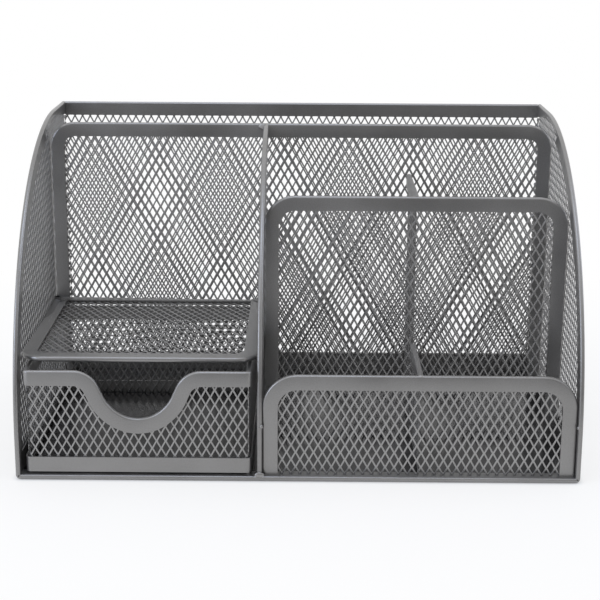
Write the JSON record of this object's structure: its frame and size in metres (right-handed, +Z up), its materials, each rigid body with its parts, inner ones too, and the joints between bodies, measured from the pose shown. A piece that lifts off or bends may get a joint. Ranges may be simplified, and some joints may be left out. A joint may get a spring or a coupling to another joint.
{
  "type": "desk organizer with drawer",
  "caption": "Mesh steel pen stand: upright rear slot, stepped pockets behind rounded frames, and a sliding drawer with a finger scoop under a small tray.",
  "frame": {"origin": "middle of the footprint, on the surface it stands on", "axes": "+Z up, +X to the user's right along the width, +Y towards the back; the drawer opens to -Y"},
  "size_m": [0.22, 0.14, 0.129],
  "materials": {
    "carcass_strip_paint": "satin metallic pewter paint on folded steel strip",
    "carcass_mesh_paint": "satin metallic pewter paint on expanded steel mesh",
    "drawer_strip_paint": "satin metallic pewter paint on folded steel strip",
    "drawer_mesh_paint": "satin metallic pewter paint on expanded steel mesh"
  },
  "bodies": {
    "carcass": {"left_edge_channel": "carcass_strip_paint", "right_edge_channel": "carcass_strip_paint", "front_edge_channel": "carcass_strip_paint", "back_top_rail": "carcass_strip_paint", "left_wall_band": "carcass_strip_paint", "right_wall_band": "carcass_strip_paint", "back_wall_band": "carcass_strip_paint", "floor_lip": "carcass_strip_paint", "floor_sheet": "carcass_strip_paint", "left_side_mesh": "carcass_mesh_paint", "right_side_mesh": "carcass_mesh_paint", "back_mesh": "carcass_mesh_paint", "tall_panel_frame": "carcass_strip_paint", "tall_panel_mesh": "carcass_mesh_paint", "medium_panel_frame": "carcass_strip_paint", "medium_panel_mesh": "carcass_mesh_paint", "low_panel_frame": "carcass_strip_paint", "low_panel_mesh": "carcass_mesh_paint", "main_divider_rim": "carcass_strip_paint", "main_divider_mesh": "carcass_mesh_paint", "front_divider_rim": "carcass_strip_paint", "front_divider_mesh": "carcass_mesh_paint", "rear_divider_rim": "carcass_strip_paint", "rear_divider_mesh": "carcass_mesh_paint", "deck_frame": "carcass_strip_paint", "deck_mesh": "carcass_mesh_paint"},
    "drawer": {"drawer_front_band": "drawer_strip_paint", "drawer_rim_band": "drawer_strip_paint", "drawer_bottom_band": "drawer_strip_paint", "drawer_floor_lip": "drawer_strip_paint", "drawer_floor_sheet": "drawer_strip_paint", "drawer_front_mesh": "drawer_mesh_paint", "drawer_left_mesh": "drawer_mesh_paint", "drawer_right_mesh": "drawer_mesh_paint", "drawer_rear_mesh": "drawer_mesh_paint"}
  },
  "joints": [
    {"name": "drawer_slide", "type": "slide", "parent": "carcass", "child": "drawer", "axis": [0, -1, 0], "range_m": [0, 0.065]}
  ]
}
